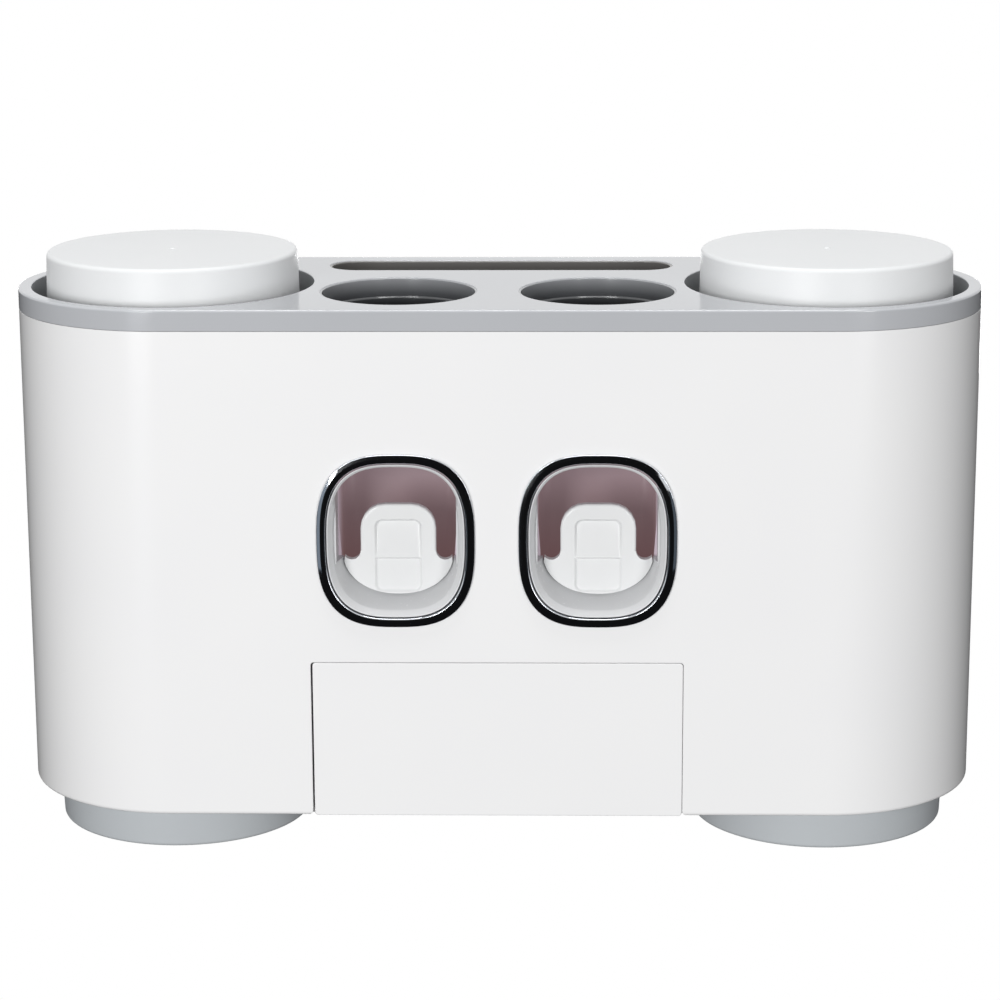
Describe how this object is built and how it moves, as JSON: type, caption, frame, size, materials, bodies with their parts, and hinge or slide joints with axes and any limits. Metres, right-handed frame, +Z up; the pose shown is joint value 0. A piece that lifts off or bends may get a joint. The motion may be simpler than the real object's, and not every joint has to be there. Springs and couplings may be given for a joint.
{
  "type": "wall toothbrush holder",
  "caption": "Wall-mounted toothbrush holder: upturned tumblers in side wells, paste squeezer windows with push levers, a brush slot and a flush drawer.",
  "frame": {"origin": "on the wall, behind the pad that holds the wall plate, at the housing's mid width and mid height", "axes": "+X to the viewer's right along the wall, +Y into the wall, +Z up"},
  "size_m": [0.287, 0.094, 0.1754],
  "materials": {
    "white_abs": "smooth glossy white ABS",
    "white_pp": "smooth satin white polypropylene",
    "grey_abs": "glossy light grey ABS",
    "grey_pp": "satin blue-grey polypropylene",
    "chrome": "bright plated plastic",
    "smoke_pc": "dark smoky brown plastic",
    "silicone": "soft translucent silicone",
    "steel": "plain stainless steel",
    "foam_tape": "double-sided foam tape"
  },
  "bodies": {
    "wall_mount": {"wall_plate": "white_abs", "adhesive_pad": "foam_tape"},
    "housing": {"back_panel": "white_abs", "back_screw_1": "steel", "back_screw_2": "steel", "back_screw_3": "steel", "back_screw_4": "steel", "brush_pocket": "grey_abs", "chamber_screw_left_lower": "steel", "chamber_screw_left_upper": "steel", "chamber_screw_right_lower": "steel", "chamber_screw_right_upper": "steel", "chrome_ring_left": "chrome", "chrome_ring_right": "chrome", "cup_well_left": "grey_pp", "cup_well_right": "grey_pp", "dispenser_chamber_left": "smoke_pc", "dispenser_chamber_right": "smoke_pc", "drawer_runner_left": "white_pp", "drawer_runner_right": "white_pp", "front_shell": "white_abs", "lever_pin_left": "steel", "lever_pin_right": "steel", "paste_nozzle_left": "silicone", "paste_nozzle_right": "silicone", "pump_bellows_left": "silicone", "pump_bellows_right": "silicone", "return_spring_left": "steel", "return_spring_right": "steel", "top_deck": "grey_abs", "tube_socket_left": "silicone", "tube_socket_right": "silicone", "tube_well_left": "grey_abs", "tube_well_right": "grey_abs", "window_bezel_left": "white_abs", "window_bezel_right": "white_abs"},
    "tumbler_left": {"tumbler_left": "white_pp"},
    "tumbler_right": {"tumbler_right": "white_pp"},
    "lever_left": {"push_lever_left": "white_abs"},
    "lever_right": {"push_lever_right": "white_abs"},
    "plunger_left": {"pump_plunger_left": "white_abs"},
    "plunger_right": {"pump_plunger_right": "white_abs"},
    "drawer": {"drawer_front": "white_abs", "drawer_tray": "white_pp"}
  },
  "joints": [
    {"name": "housing_lift", "type": "slide", "parent": "wall_mount", "child": "housing", "axis": [0, 0, 1], "range_m": [0, 0.009]},
    {"name": "tumbler_left_lift", "type": "slide", "parent": "housing", "child": "tumbler_left", "axis": [0, 0, 1], "range_m": [0, 0.1]},
    {"name": "tumbler_right_lift", "type": "slide", "parent": "housing", "child": "tumbler_right", "axis": [0, 0, 1], "range_m": [0, 0.1]},
    {"name": "lever_left_press", "type": "hinge", "parent": "housing", "child": "lever_left", "pos_m": [-0.0293, -0.0785, -0.009], "axis": [-1, 0, 0], "range_deg": [0, 15], "stiffness_Nm_per_rad": 0.05, "springref_deg": -8.59},
    {"name": "lever_right_press", "type": "hinge", "parent": "housing", "child": "lever_right", "pos_m": [0.0293, -0.0785, -0.009], "axis": [-1, 0, 0], "range_deg": [0, 15], "stiffness_Nm_per_rad": 0.05, "springref_deg": -8.59},
    {"name": "plunger_left_slide", "type": "slide", "parent": "housing", "child": "plunger_left", "axis": [0, 1, 0], "range_m": [0, 0.003], "deforming": ["pump_bellows_left", "return_spring_left"]},
    {"name": "plunger_right_slide", "type": "slide", "parent": "housing", "child": "plunger_right", "axis": [0, 1, 0], "range_m": [0, 0.003], "deforming": ["pump_bellows_right", "return_spring_right"]},
    {"name": "drawer_slide", "type": "slide", "parent": "housing", "child": "drawer", "axis": [0, -1, 0], "range_m": [0, 0.055]}
  ],
  "couplings": [
    {"joint": "plunger_left_slide", "follows": "lever_left_press", "m_per_rad": 0.011},
    {"joint": "plunger_right_slide", "follows": "lever_right_press", "m_per_rad": 0.011}
  ]
}
